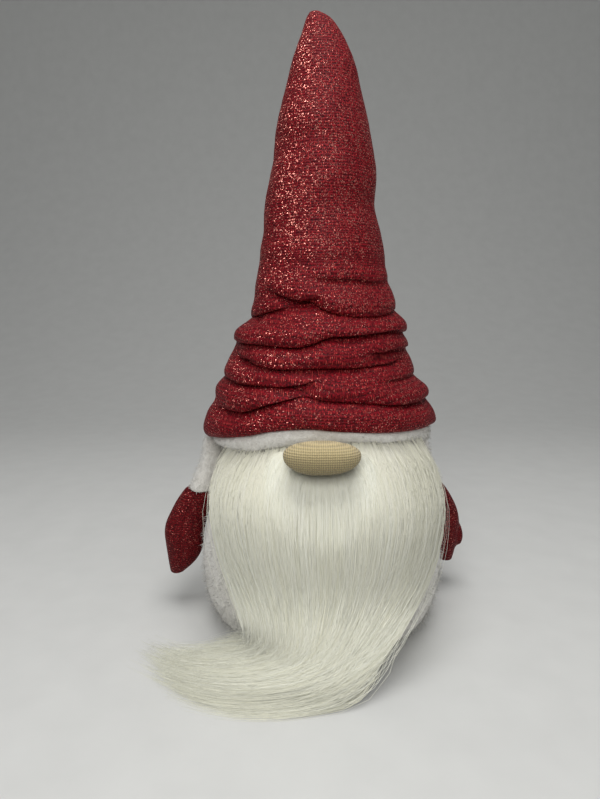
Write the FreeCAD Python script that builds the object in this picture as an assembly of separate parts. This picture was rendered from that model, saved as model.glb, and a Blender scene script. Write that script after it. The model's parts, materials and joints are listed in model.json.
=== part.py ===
import FreeCAD
import Part
import math
import os
from FreeCAD import Vector

# A free-standing tomte gnome: a weighted fleece sack for a body, a tall slouched hat, a knitted
# nose, a floor-length beard of long straight pile, and two stuffed arms that end in mittens.
# +Z is up, the figure faces -Y, and the origin is the middle of its flat underside.
# "right" and "left" are the figure's own sides: right is -X and left is +X.
# All sizes are in millimetres and degrees.

# Shared clearances and cloth
fit_gap = 0.3                # between one stuffed piece and the next
fleece = 2.0                 # white fleece of body and sleeves
lining_cloth = 1.5           # white fleece inside the hat
glitter_knit = 1.3           # red knit of hat and mittens
nose_knit = 1.0              # beige knit over the nose
pouch_cloth = 0.6            # thin cotton of the weight pouch

# Body sack, from the flat underside up to the gathered neck
base_radius = 50.0
belly_radius = 71.0
belly_height = 48.0
shoulder_radius = 56.5
shoulder_drop = 18.0         # from the head's widest part down to the shoulders
head_radius = 55.0
head_height = 122.0
neck_radius = 9.0
neck_rise = 35.0             # from the head's widest part up to the gathered neck
tuft_radius = 14.0
tuft_length = 14.0           # cloth left standing above the tie
tie_cord = 1.2               # radius of the cord that closes the sack
tie_lift = 2.6               # the tie's centre above the neck's lowest point
cord_ease = 0.1              # between a tied cord and what it is tied round

# Weight in the base
disc_radius = 45.0
disc_thickness = 2.0
pouch_height = 34.0

# Hat, from its rolled hem to the tip
hem_drop = 3.5               # from the head's widest part down to the hem's centre, at the sides
hem_roll = 4.8               # radius of the roll
hem_ease = 0.6               # slack of the hem around the head
hem_tilt = 9.6               # the nose pushes the hem up at the front
hat_rise = 223.5             # from the hem's centre to the tip
skirt_drop = 22.0            # how far the skirt is drawn before the tilted hem trims it
skirt_cut = 1.92             # the skirt ends inside the roll, this far below the roll's centre
cap_slack = 5.0              # how loosely the hat's inside goes round the tuft
cap_lift = 4.0               # and how far above the tuft it closes

# Fleece band between the hat's hem and the beard
brow_thickness = 3.2
brow_depth = 12.0
brow_tuck = 0.9              # how far the band goes up behind the hem's roll
brow_half_angle = 70.0

# Nose
nose_half_width = 18.5
nose_half_depth = 10.0
nose_half_height = 10.5
nose_drop = 1.0              # the nose's middle below the hem's centre at the sides
nose_offset = -2.5           # sewn on a little to the figure's right
nose_stem_radius = 3.2
nose_stem_length = 2.4       # from the band's face to the back of the nose
nose_thread = 0.6

# Beard
backing_cloth = 1.2
backing_foot = 62.0          # height of the backing's lower edge
pile_depth = 12.0            # at the belly
pile_root_depth = 5.5        # under the brow band
pile_flare = 6.0             # how much further out the pile is at the floor than at the belly
beard_back_edge = 20.0       # the beard stops this far in front of the arms' plane

# Arms, each hung from a thread tack at its shoulder
arm_gap = 1.3                # between a hanging arm and the body behind it
hem_clearance = 1.5          # between the top of an arm and the hem above it
sleeve_top = 6.2             # height of the sleeve above the tack
sleeve_length = 28.0         # from the tack down to the sleeve's hem
sleeve_half_thickness = 6.8  # at the shoulder, across the body
sleeve_half_width = 9.0      # at the shoulder, front to back
cuff_half_thickness = 8.0
cuff_half_width = 12.0
mitten_length = 55.0         # below the sleeve's hem
mitten_half_thickness = 12.5
mitten_half_width = 11.5
mitten_cuff = 8.0            # tucked up inside the sleeve
mitten_tip_in = 3.2          # the tip hangs this much further in than the palm's outside
thumb_radius = 5.0
thumb_half_length = 10.5
thumb_rise = 21.0            # from the mitten's tip to the thumb's middle
thumb_lean = -16.0
thumb_reach = 0.78           # share of the mitten's half width at which the thumb's middle lies
stitch_radius = 0.9
stitch_half_length = 6.0
stitch_clearance = 0.25
knot_radius = 3.2
knot_thickness = 1.4
arm_lift = 60.0              # how far an arm lifts, which the slot in its sleeve has to clear
right_arm_azimuth = 177.0
left_arm_azimuth = 20.0
right_thumb_turn = -75.0     # 0 points straight out from the body
left_thumb_turn = -20.0

# Heights that follow from the head's
shoulder_height = head_height - shoulder_drop
neck_height = head_height + neck_rise
hem_height = head_height - hem_drop
nose_height = hem_height - nose_drop
tuft_height = neck_height + tuft_length

up = Vector(0, 0, 1)
centre_line = Vector(0, 0, 0)
far = 400.0                  # larger than the figure, for cutting blocks


# Shapes that several pieces are made with

def profile_curve(points):
    curve = Part.BSplineCurve()
    curve.interpolate([Vector(r, 0, z) for r, z in points])
    return curve


def offset_profile(points, distance):
    # Each point moves square to the curve; a positive distance is away from the axis.
    curve = profile_curve(points)
    moved = []
    for r, z in points:
        along = curve.tangent(curve.parameter(Vector(r, 0, z)))[0]
        moved.append((max(r + distance * along.z, 0.0), z - distance * along.x))
    return moved


def revolved(points):
    # A solid of revolution whose outline is one smooth curve, closed to the axis by flats.
    first = points[0]
    last = points[-1]
    edges = [profile_curve(points).toShape()]
    if last[0] > 1e-6:
        edges.append(Part.makeLine(Vector(last[0], 0, last[1]), Vector(0, 0, last[1])))
    edges.append(Part.makeLine(Vector(0, 0, last[1]), Vector(0, 0, first[1])))
    edges.append(Part.makeLine(Vector(0, 0, first[1]), Vector(first[0], 0, first[1])))
    face = Part.Face(Part.Wire(Part.__sortEdges__(edges)))
    return face.revolve(centre_line, up, 360)


def radius_at(points, height):
    # The profile's radius at a height, by stepping along its curve.
    curve = profile_curve(points)
    steps = 400
    span = curve.LastParameter - curve.FirstParameter
    low = curve.value(curve.FirstParameter)
    for i in range(1, steps + 1):
        high = curve.value(curve.FirstParameter + span * i / steps)
        if low.z <= height <= high.z:
            share = (height - low.z) / max(high.z - low.z, 1e-9)
            return low.x + share * (high.x - low.x)
        low = high
    return low.x


def oval_wire(x, z, half_x, half_y, y=0.0):
    points = []
    count = 12
    for i in range(count):
        a = 2 * math.pi * i / count
        points.append(Vector(x + half_x * math.cos(a), y + half_y * math.sin(a), z))
    curve = Part.BSplineCurve()
    curve.interpolate(points, PeriodicFlag=True)
    return Part.Wire([curve.toShape()])


def oval_loft(sections):
    # sections: (x, z, half width in X, half width in Y), from the lowest up
    return Part.makeLoft([oval_wire(*s) for s in sections], True)


def ellipsoid(centre, half_x, half_y, half_z):
    scale = FreeCAD.Matrix()
    scale.scale(half_x, half_y, half_z)
    ball = Part.makeSphere(1).transformGeometry(scale)
    ball.translate(centre)
    return ball


def block_above(height):
    return Part.makeBox(2 * far, 2 * far, far, Vector(-far, -far, height))


def block_below(height):
    return Part.makeBox(2 * far, 2 * far, far, Vector(-far, -far, height - far))


def tilted(shape):
    # From the hem's own level frame to its place on the head, front edge up.
    shape.rotate(centre_line, Vector(1, 0, 0), -hem_tilt)
    shape.translate(Vector(0, 0, hem_height))
    return shape


# Profiles that neighbouring pieces share, as (radius, height)

belly_step = belly_radius - base_radius
dome_rise = neck_height - head_height
body_profile = [
    (base_radius, 0),
    (base_radius + 0.5 * belly_step, 0.12 * belly_height),
    (base_radius + 0.83 * belly_step, 0.33 * belly_height),
    (belly_radius, belly_height),
    (shoulder_radius, shoulder_height),
    (head_radius, head_height),
    (0.8 * head_radius, head_height + 0.5 * dome_rise),
    (neck_radius, neck_height),
]
cavity_profile = offset_profile(body_profile, -fleece)
filling_profile = offset_profile(body_profile, -fleece - fit_gap)

# The hat's inside follows the head and then closes over the tuft.
cap_profile = [
    (shoulder_radius + fit_gap, shoulder_height),
    (head_radius + fit_gap, head_height),
    (0.8 * head_radius + 2 * fit_gap, head_height + 0.5 * dome_rise + fit_gap),
    (tuft_radius + cap_slack, tuft_height - 1.2 * cap_slack),
    (0.6 * tuft_radius, tuft_height + 0.75 * cap_lift),
    (0, tuft_height + cap_lift),
]

hem_lean = math.radians(hem_tilt)
hem_radius = (shoulder_radius + 2 * fit_gap + lining_cloth + hem_roll + hem_ease) / math.cos(hem_lean)
# Share of the hat's rise, share of the hem's radius. Each slouched fold is a crest between two tucks.
hat_outline = [
    (0.0, 0.985),
    (0.030, 0.965),
    (0.065, 0.975),
    (0.098, 0.940),
    (0.120, 0.868),
    (0.142, 0.862),
    (0.164, 0.815),
    (0.195, 0.776),
    (0.225, 0.768),
    (0.248, 0.690),
    (0.272, 0.628),
    (0.317, 0.622),
    (0.350, 0.596),
    (0.381, 0.542),
    (0.430, 0.556),
    (0.497, 0.508),
    (0.587, 0.464),
    (0.645, 0.436),
    (0.726, 0.396),
    (0.811, 0.325),
    (0.892, 0.247),
    (0.946, 0.168),
    (0.985, 0.098),
    (1.0, 0.0),
]
hat_profile = [(hem_radius * r, hem_height + hat_rise * s) for s, r in hat_outline]
skirt_foot = (hat_profile[0][0], hem_height - skirt_drop)


def hat_surface(inset):
    # The hat's outline moved inwards by inset, as a solid that reaches down past the hem.
    points = [(skirt_foot[0] - inset, skirt_foot[1])]
    points += offset_profile(hat_profile, -inset)[:-1]
    tip = hat_profile[-1][1] - 1.6 * inset
    points = [p for p in points if p[1] < tip - 0.0045 * hat_rise]
    return revolved(points + [(0, tip)])


# Where an arm hangs

def hem_level(azimuth, radius):
    # Height of the hem's centre above a point beside the figure.
    return hem_height - radius * math.sin(math.radians(azimuth)) * math.tan(hem_lean)


def arm_rest(height, half_thickness):
    # Distance of the arm's middle from the figure's axis where it lies against the body.
    return radius_at(body_profile, max(height, belly_height)) + arm_gap + half_thickness


def arm_pivot(azimuth):
    lowest_hem = hem_level(azimuth, hem_radius) - hem_roll / math.cos(hem_lean)
    z = lowest_hem - hem_clearance - sleeve_top
    return arm_rest(z, sleeve_half_thickness), z


# Body

def stitch_hole(azimuth, hole_radius):
    x, z = arm_pivot(azimuth)
    depth = x - head_radius + fleece + 2 * fit_gap + 2 * knot_thickness
    hole = Part.makeCylinder(hole_radius, depth, Vector(x - depth, 0, z), Vector(1, 0, 0))
    hole.rotate(centre_line, up, azimuth)
    return hole


def make_body():
    neck = [
        (neck_radius, neck_height - 0.5 * fleece),
        (neck_radius, neck_height + 2 * tie_lift),
        (tuft_radius, tuft_height),
    ]
    cover = revolved(body_profile).fuse(revolved(neck)).removeSplitter()
    cover = cover.cut(revolved(cavity_profile).common(block_above(fleece)))
    inside = revolved(filling_profile)
    disc_top = fleece + disc_thickness
    pouch_top = disc_top + pouch_height
    pouch = inside.common(block_above(disc_top)).common(block_below(pouch_top))
    hollow = revolved(offset_profile(body_profile, -fleece - fit_gap - pouch_cloth))
    hollow = hollow.common(block_above(disc_top + pouch_cloth))
    hollow = hollow.common(block_below(pouch_top - pouch_cloth))
    pellet_space = revolved(offset_profile(body_profile, -fleece - 2 * fit_gap - pouch_cloth))
    pellets = pellet_space.common(block_above(disc_top + pouch_cloth))
    pellets = pellets.common(block_below(pouch_top - pouch_cloth - fit_gap))
    filling = inside.common(block_above(pouch_top))
    for azimuth in (right_arm_azimuth, left_arm_azimuth):
        cover = cover.cut(stitch_hole(azimuth, stitch_radius + stitch_clearance))
        filling = filling.cut(stitch_hole(azimuth, knot_radius + fit_gap))
    tie = Part.makeTorus(neck_radius + tie_cord + cord_ease, tie_cord)
    tie.translate(Vector(0, 0, neck_height + tie_lift))
    return {
        "body_cover": cover,
        "base_disc": Part.makeCylinder(disc_radius, disc_thickness, Vector(0, 0, fleece)),
        "pellet_pouch": pouch.cut(hollow),
        "pellets": pellets,
        "body_filling": filling,
        "neck_tie": tie,
    }


# Hat

def hem_ring(thickness_radius):
    # Its seam is turned to the back, away from the seam of the shell that it joins.
    circle = Part.makeCircle(thickness_radius, Vector(0, hem_radius, 0), Vector(1, 0, 0))
    return tilted(Part.Face(Part.Wire(circle)).revolve(centre_line, up, 360))


def make_hat(nose_room):
    trim = tilted(block_above(-skirt_cut))
    shell = hat_surface(0).cut(hat_surface(glitter_knit)).common(trim)
    roll = hem_ring(hem_roll)
    lining_outer = offset_profile(cap_profile[:-1], lining_cloth) + [(0, cap_profile[-1][1] + lining_cloth)]
    lining_outer = revolved(lining_outer)
    lining = lining_outer.cut(revolved(cap_profile)).common(trim)
    keep_off = offset_profile(cap_profile[:-1], lining_cloth + fit_gap)
    keep_off = revolved(keep_off + [(0, cap_profile[-1][1] + lining_cloth + fit_gap)])
    stuffing = hat_surface(glitter_knit + fit_gap).cut(keep_off)
    stuffing = stuffing.common(tilted(block_above(hem_roll + fit_gap)))
    return {
        "hat_shell": shell.fuse(roll).cut(nose_room).removeSplitter(),
        "hat_lining": lining,
        "hat_filling": stuffing,
    }


# Brow band, level with the hem and so tilted with it

brow_radius = shoulder_radius + fit_gap + 0.5 * brow_thickness
brow_top = brow_tuck - hem_roll
brow_bottom = brow_top - brow_depth


def make_brow_band(nose_room):
    round_edge = 0.5 * brow_thickness
    inner = brow_radius - round_edge
    outer = brow_radius + round_edge
    high = brow_top - round_edge
    low = brow_bottom + round_edge
    edges = [
        Part.makeLine(Vector(inner, 0, low), Vector(inner, 0, high)),
        Part.Arc(Vector(inner, 0, high), Vector(brow_radius, 0, brow_top), Vector(outer, 0, high)).toShape(),
        Part.makeLine(Vector(outer, 0, high), Vector(outer, 0, low)),
        Part.Arc(Vector(outer, 0, low), Vector(brow_radius, 0, brow_bottom), Vector(inner, 0, low)).toShape(),
    ]
    band = Part.Face(Part.Wire(edges)).revolve(centre_line, up, 2 * brow_half_angle)
    band.rotate(centre_line, up, -90 - brow_half_angle)
    band = tilted(band).cut(nose_room)
    return band.cut(hem_ring(hem_roll + fit_gap))


# Nose. Its narrow stem is the end of the knit, drawn through the brow band to the head.

brow_face = brow_radius + 0.5 * brow_thickness
nose_below_hem = (nose_height - hem_height - brow_face * math.sin(hem_lean)) / math.cos(hem_lean)
brow_face_y = brow_face * math.cos(hem_lean) - nose_below_hem * math.sin(hem_lean)
nose_back = brow_face_y + nose_stem_length
nose_centre = Vector(nose_offset, -nose_back - nose_half_depth, nose_height)
stem_start = radius_at(body_profile, nose_height) + fit_gap
thread_y = -(nose_back - 0.5 * nose_stem_length)


def nose_ball(growth):
    return ellipsoid(
        nose_centre,
        nose_half_width + growth,
        nose_half_depth + growth,
        nose_half_height + growth,
    )


def nose_stem(growth):
    length = nose_back + 0.5 * nose_half_depth - stem_start
    start = Vector(nose_offset, -stem_start, nose_height)
    return Part.makeCylinder(nose_stem_radius + growth, length, start, Vector(0, -1, 0))


def make_nose():
    thread = Part.makeTorus(
        nose_stem_radius + nose_thread + cord_ease,
        nose_thread,
        Vector(nose_offset, thread_y, nose_height),
        Vector(0, 1, 0),
    )
    return {
        "nose_cover": nose_ball(0).fuse(nose_stem(0)).cut(nose_ball(-nose_knit)),
        "nose_filling": nose_ball(-nose_knit - fit_gap),
        "nose_thread": thread,
    }


# Beard

# Half widths of the beard as seen from the front, from the floor up, as (half width, height)
beard_right_edge = [(30.0, 0), (37.0, 25), (44.0, 43), (55.0, 60), (62.0, 82), (60.0, 125)]
beard_left_edge = [(14.0, 0), (32.0, 20), (51.0, 43), (60.0, 56), (68.0, 82), (62.0, 125)]
# The lock that sweeps to the right over the floor: x, y, direction in degrees, half width, height
swept_lock = [
    (22.0, -80.0, 200.0, 5.0, 14.0),
    (4.0, -86.0, 194.0, 11.0, 24.0),
    (-18.0, -90.0, 186.0, 12.5, 23.0),
    (-42.0, -89.0, 174.0, 13.0, 14.0),
    (-66.0, -82.0, 160.0, 12.0, 7.0),
    (-90.0, -71.0, 152.0, 7.0, 2.5),
]


def beard_window():
    right = [Vector(-w, 0, z) for w, z in beard_right_edge]
    left = [Vector(w, 0, z) for w, z in reversed(beard_left_edge)]
    sides = []
    for points in (right, left):
        curve = Part.BSplineCurve()
        curve.interpolate(points)
        sides.append(curve.toShape())
    top = Part.makeLine(right[-1], left[0])
    bottom = Part.makeLine(left[-1], right[0])
    outline = Part.Face(Part.Wire([sides[0], top, sides[1], bottom]))
    outline.translate(Vector(0, -beard_back_edge, 0))
    return outline.extrude(Vector(0, -far, 0))


def hanging_profile(top_offset, belly_offset, floor_offset):
    # Follows the head and shoulder down to the belly and hangs straight from there.
    shoulder_offset = 0.5 * (top_offset + belly_offset)
    return [
        (belly_radius + floor_offset, 0),
        (belly_radius + belly_offset, belly_height),
        (shoulder_radius + shoulder_offset, shoulder_height),
        (head_radius + top_offset, head_height),
    ]


def lock_section(x, y, direction, half_width, height):
    # A dome on the floor, square to the lock's run.
    a = math.radians(direction + 90)
    side = Vector(math.cos(a), math.sin(a), 0)
    foot = Vector(x, y, 0)
    dome = Part.BSplineCurve()
    dome.interpolate([
        foot - side * half_width,
        foot - side * 0.72 * half_width + up * 0.7 * height,
        foot + up * height,
        foot + side * 0.72 * half_width + up * 0.7 * height,
        foot + side * half_width,
    ])
    chord = Part.makeLine(foot + side * half_width, foot - side * half_width)
    return Part.Wire([dome.toShape(), chord])


def make_beard(nose_room):
    window = beard_window().common(tilted(block_below(brow_bottom - fit_gap)))
    inner = revolved(offset_profile(body_profile, fit_gap))
    outer = revolved(offset_profile(body_profile, fit_gap + backing_cloth))
    backing = outer.cut(inner).common(window).common(block_above(backing_foot))
    root = 2 * fit_gap + backing_cloth
    rooted = revolved(offset_profile(body_profile, root))
    behind = revolved(hanging_profile(root, root, root))
    face = root + pile_depth
    front = revolved(hanging_profile(root + pile_root_depth, face, face + pile_flare))
    drape = front.cut(behind).cut(rooted).common(window)
    lock = Part.makeLoft([lock_section(*s) for s in swept_lock], True)
    pile = drape.fuse(lock.cut(behind)).removeSplitter()
    return {
        "beard_backing": backing.cut(nose_room),
        "beard_pile": pile.cut(nose_room),
    }


# Arms, made on the +X side and then turned about the figure's axis

def sleeve_sections(pivot, inset):
    x, z = pivot
    half_thickness = 0.5 * (cuff_half_thickness + sleeve_half_thickness)
    half_width = 0.5 * (cuff_half_width + sleeve_half_width)
    table = [
        (z - sleeve_length, cuff_half_thickness, cuff_half_width),
        (z - 0.55 * sleeve_length, half_thickness, half_width),
        (z, sleeve_half_thickness, sleeve_half_width),
        (z + 0.66 * sleeve_top, 0.76 * sleeve_half_thickness, 0.76 * sleeve_half_width),
        (z + sleeve_top, 0.36 * sleeve_half_thickness, 0.36 * sleeve_half_width),
    ]
    sections = []
    for height, across, along in table:
        centre = x if height >= z else arm_rest(height, across)
        sections.append((centre, height, across - inset, along - inset))
    return sections


def mitten_sections(pivot, inset):
    top = pivot[1] - sleeve_length - fit_gap
    tip = top - mitten_length
    table = [
        (tip + inset, 0.3, 0.32),
        (tip + 0.11 * mitten_length, 0.58, 0.62),
        (tip + 0.28 * mitten_length, 0.86, 0.9),
        (tip + 0.5 * mitten_length, 1.0, 1.0),
        (tip + 0.68 * mitten_length, 0.97, 1.0),
        (tip + 0.85 * mitten_length, 0.87, 0.98),
        (top - inset, 0.74, 0.94),
    ]
    palm_height = tip + 0.5 * mitten_length
    outside = arm_rest(palm_height, mitten_half_thickness) + mitten_half_thickness
    sections = []
    for height, across, along in table:
        half = across * mitten_half_thickness
        centre = arm_rest(height, half)
        if height < palm_height:
            share = (palm_height - height) / (palm_height - tip)
            centre = outside - half - mitten_tip_in * share
        sections.append((centre, height, half - inset, along * mitten_half_width - inset))
    return sections


def thumb_shape(pivot, turn, inset):
    # Lies along the mitten's edge and leans away from it towards its tip.
    a = math.radians(turn)
    height = pivot[1] - sleeve_length - fit_gap - mitten_length + thumb_rise
    thumb = ellipsoid(centre_line, thumb_radius - inset, thumb_radius - inset, thumb_half_length - inset)
    thumb.rotate(centre_line, Vector(0, 1, 0), thumb_lean)
    thumb.rotate(centre_line, up, turn)
    x = arm_rest(height, mitten_half_thickness) + thumb_reach * mitten_half_thickness * math.cos(a)
    thumb.translate(Vector(x, thumb_reach * mitten_half_width * math.sin(a), height))
    return thumb


def shank_slot(pivot):
    # The tack's shank stays with the body while the sleeve lifts, so the sleeve is open behind it.
    centre = Vector(pivot[0], 0, pivot[1])
    start = centre - Vector(0, 2 * sleeve_half_width, 0)
    bore = Part.makeCylinder(stitch_radius + stitch_clearance, 4 * sleeve_half_width, start, Vector(0, 1, 0))
    half = stitch_radius + 2 * stitch_clearance
    reach = 4 * sleeve_half_thickness
    points = [centre - up * half]
    for turn in (0, 0.5 * arm_lift, arm_lift):
        a = math.radians(180 - turn)
        direction = Vector(math.cos(a), 0, math.sin(a))
        away = Vector(math.sin(a), 0, -math.cos(a)) * (half * (2 * turn / arm_lift - 1))
        points.append(centre + direction * reach + away)
    points.append(centre + away)
    wedge = Part.Face(Part.makePolygon(points + points[:1])).extrude(Vector(0, 2 * half, 0))
    wedge.translate(Vector(0, -half, 0))
    return bore.fuse(wedge)


def make_tack(pivot):
    # Knot inside the body's cloth, shank through it, and a bar that the sleeve turns on.
    x, z = pivot
    narrowest = min(radius_at(body_profile, z - knot_radius), radius_at(body_profile, z + knot_radius))
    inside = narrowest - fleece - fit_gap
    outward = Vector(1, 0, 0)
    shank = Part.makeCylinder(stitch_radius, x - inside, Vector(inside, 0, z), outward)
    knot = Part.makeCylinder(knot_radius, knot_thickness, Vector(inside - knot_thickness, 0, z), outward)
    bar_start = Vector(x, -stitch_half_length, z)
    bar = Part.makeCylinder(stitch_radius, 2 * stitch_half_length, bar_start, Vector(0, 1, 0))
    return shank.fuse(bar).fuse(knot)


def make_arm(name, azimuth, thumb_turn):
    pivot = arm_pivot(azimuth)
    hollow_top = pivot[1] - sleeve_half_thickness
    cuff_top = pivot[1] - sleeve_length + mitten_cuff
    inside = fleece + fit_gap
    lower = block_below(hollow_top)
    sleeve = oval_loft(sleeve_sections(pivot, 0)).cut(oval_loft(sleeve_sections(pivot, fleece)).common(lower))
    sleeve = sleeve.cut(shank_slot(pivot))

    stuffing = oval_loft(sleeve_sections(pivot, inside))
    stuffing = stuffing.common(block_above(cuff_top + fit_gap)).common(block_below(hollow_top - fit_gap))

    cuff = oval_loft(sleeve_sections(pivot, inside)).common(block_below(cuff_top))
    cuff = cuff.cut(oval_loft(sleeve_sections(pivot, inside + glitter_knit)))
    hand = oval_loft(mitten_sections(pivot, 0)).fuse(thumb_shape(pivot, thumb_turn, 0))
    palm_end = oval_wire(*mitten_sections(pivot, 0)[-1])
    cuff_end = oval_wire(*sleeve_sections(pivot, inside)[0])
    hand = hand.fuse(Part.makeLoft([palm_end, cuff_end], True)).fuse(cuff)
    hollow = oval_loft(mitten_sections(pivot, glitter_knit))
    hollow = hollow.fuse(thumb_shape(pivot, thumb_turn, glitter_knit))
    filling = oval_loft(mitten_sections(pivot, glitter_knit + fit_gap))
    filling = filling.fuse(thumb_shape(pivot, thumb_turn, glitter_knit + fit_gap))

    pieces = {
        name + "_sleeve": sleeve,
        name + "_arm_filling": stuffing,
        name + "_mitten": hand.cut(hollow),
        name + "_mitten_filling": filling,
        name + "_arm_tack": make_tack(pivot),
    }
    for piece in pieces.values():
        piece.rotate(centre_line, up, azimuth)
    return pieces


nose_room = nose_ball(fit_gap).fuse(nose_stem(fit_gap))

nodes = {}
nodes.update(make_body())
nodes.update(make_hat(nose_room))
nodes["brow_band"] = make_brow_band(nose_room)
nodes.update(make_nose())
nodes.update(make_beard(nose_room))
nodes.update(make_arm("right", right_arm_azimuth, right_thumb_turn))
nodes.update(make_arm("left", left_arm_azimuth, left_thumb_turn))

os.makedirs("parts", exist_ok=True)
for node, shape in nodes.items():
    solids = shape.Solids
    print(node, len(solids), "solids", round(shape.Volume), "mm3", shape.isValid())
    whole = solids[0] if len(solids) == 1 else Part.makeCompound(solids)
    whole.exportStep("parts/" + node + ".step")
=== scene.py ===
import json
import math
from functools import partial
import bpy
import numpy as np
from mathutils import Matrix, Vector, noise
from mathutils.bvhtree import BVHTree

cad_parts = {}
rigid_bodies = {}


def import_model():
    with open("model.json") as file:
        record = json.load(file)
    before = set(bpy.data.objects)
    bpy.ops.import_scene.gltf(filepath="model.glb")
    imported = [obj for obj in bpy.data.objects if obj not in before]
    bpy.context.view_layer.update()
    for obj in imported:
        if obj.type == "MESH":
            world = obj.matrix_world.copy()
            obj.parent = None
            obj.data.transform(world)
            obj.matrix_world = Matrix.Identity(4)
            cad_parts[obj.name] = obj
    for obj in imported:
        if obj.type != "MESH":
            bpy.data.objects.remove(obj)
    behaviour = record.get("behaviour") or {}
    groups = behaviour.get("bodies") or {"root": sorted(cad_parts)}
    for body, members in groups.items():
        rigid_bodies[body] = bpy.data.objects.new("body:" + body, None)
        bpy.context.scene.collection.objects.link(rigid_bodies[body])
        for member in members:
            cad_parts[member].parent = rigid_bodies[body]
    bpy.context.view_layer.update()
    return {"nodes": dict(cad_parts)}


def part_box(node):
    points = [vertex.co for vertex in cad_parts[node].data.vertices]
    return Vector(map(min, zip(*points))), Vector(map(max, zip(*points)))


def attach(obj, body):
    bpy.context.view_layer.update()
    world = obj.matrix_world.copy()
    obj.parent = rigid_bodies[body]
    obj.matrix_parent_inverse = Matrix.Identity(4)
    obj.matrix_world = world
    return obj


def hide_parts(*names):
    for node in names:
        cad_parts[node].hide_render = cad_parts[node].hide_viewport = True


bpy.ops.object.select_all(action="SELECT")
bpy.ops.object.delete()
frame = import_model()
mm = 0.001
nodes = frame["nodes"]


def boxMm(node):
    low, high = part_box(node)
    return np.array(low) / mm, np.array(high) / mm


def deselectAll():
    if bpy.context.mode != "OBJECT":
        bpy.ops.object.mode_set(mode="OBJECT")
    bpy.ops.object.select_all(action="DESELECT")


def activate(piece):
    deselectAll()
    piece.select_set(True)
    bpy.context.view_layer.objects.active = piece


def toLinear(code):
    parts = [int(code[i:i + 2], 16) / 255 for i in (1, 3, 5)]
    return tuple(p / 12.92 if p <= 0.04045 else ((p + 0.055) / 1.055) ** 2.4 for p in parts) + (1.0,)


def newMaterial(name):
    material = bpy.data.materials.new(name)
    material.use_nodes = True
    material.node_tree.nodes.clear()
    return material, partial(addNode, material.node_tree)


def addNode(tree, kind, links=None, stops=None, **settings):
    # a node given as a value stands for its first output
    node = tree.nodes.new("ShaderNode" + kind)
    for key, value in settings.items():
        setattr(node, key, value)
    for key, value in (links or {}).items():
        if isinstance(value, bpy.types.Node):
            value = value.outputs[0]
        if isinstance(value, bpy.types.NodeSocket):
            tree.links.new(value, node.inputs[key])
        else:
            node.inputs[key].default_value = value
    if stops:
        ramp = node.color_ramp
        for element, (place, colour) in zip(ramp.elements, (stops[0], stops[-1])):
            element.position, element.color = place, toLinear(colour)
        for place, colour in stops[1:-1]:
            ramp.elements.new(place).color = toLinear(colour)
    return node


def readField(piece, field):
    values = np.zeros(len(piece.data.vertices) * 3)
    piece.data.vertices.foreach_get(field, values)
    return values.reshape(-1, 3)


def readPoints(piece):
    return readField(piece, "co") / mm


def pointNormals(piece):
    return readField(piece, "normal")


def writePoints(piece, points):
    piece.data.vertices.foreach_set("co", (points * mm).ravel())
    piece.data.update()


def storeAttribute(piece, name, values):
    kind, field = ("FLOAT_VECTOR", "vector") if values.ndim == 2 else ("FLOAT", "value")
    attribute = piece.data.attributes.new(name, kind, "POINT")
    attribute.data.foreach_set(field, values.astype(np.float32).ravel())


def smoothTable(table, places, blur):
    # values read between a table's rows, with its corners rounded over a length of blur
    keys = [row[0] for row in table]
    values = [row[1] for row in table]
    fine = np.arange(keys[0] - 3 * blur, keys[-1] + 3 * blur, blur / 6)
    weights = np.exp(-np.linspace(-2.4, 2.4, 25) ** 2 / 2)
    line = np.pad(np.interp(fine, keys, values), 12, mode="edge")
    line = np.convolve(line, weights / weights.sum(), mode="valid")
    return np.interp(places, fine, line)


def smoothStep(low, high, value):
    share = np.clip((value - low) / (high - low), 0, 1)
    return share * share * (3 - 2 * share)


def lumps(points, layers):
    # soft unevenness in layers of (height, size, seed)
    total = 0.0
    for high, size, seed in layers:
        shift = Vector((seed * 17.3, seed * 5.1, seed * 9.7))
        cloud = np.array([noise.noise(Vector(p) / size + shift) for p in points])
        total = total + high * cloud
    return total


def hill(gap, share, place, wide):
    return share * np.exp(-((gap - place) / wide) ** 2)


def unit(vectors):
    return vectors / (np.linalg.norm(vectors, axis=-1, keepdims=True) + 1e-9)


def around(radius, turn, height):
    # points at an angle from the front, on circles about the upright axis
    return np.stack([radius * np.sin(turn), -radius * np.cos(turn), height], axis=1)


def dress(piece, material):
    piece.data.materials.clear()
    piece.data.materials.append(material)


knitLook = {
    "rowPitch": 1.5, "stitchPitch": 1.05, "grain": 0.8, "fleckSize": 0.42, "cloudSize": 22,
    "stretch": 0.045, "fleckRiseFrom": 175, "fleckRiseTo": 225,  # more film flecks towards the top of the cone: partly painted light for the brighter lit upper cone, partly film showing where the knit is pulled tight
    "dark": "#36030a", "deep": "#500610", "mid": "#730b16", "bright": "#981320",
    "dot": "#d0504a", "fleck": "#ffa394", "filmTilt": 1.3,
}
# painted shade: the mitten gets the hat's knit painted darker, dots and flecks too, as it hangs in shadow; it
# has no extra flecks of the upper cone
shadedMittenLook = dict(knitLook, stretch=0.0, dark="#2b0206", deep="#45050a", mid="#650810",
                  bright="#860e18", dot="#8e2f2c", fleck="#e8867a")


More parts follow.
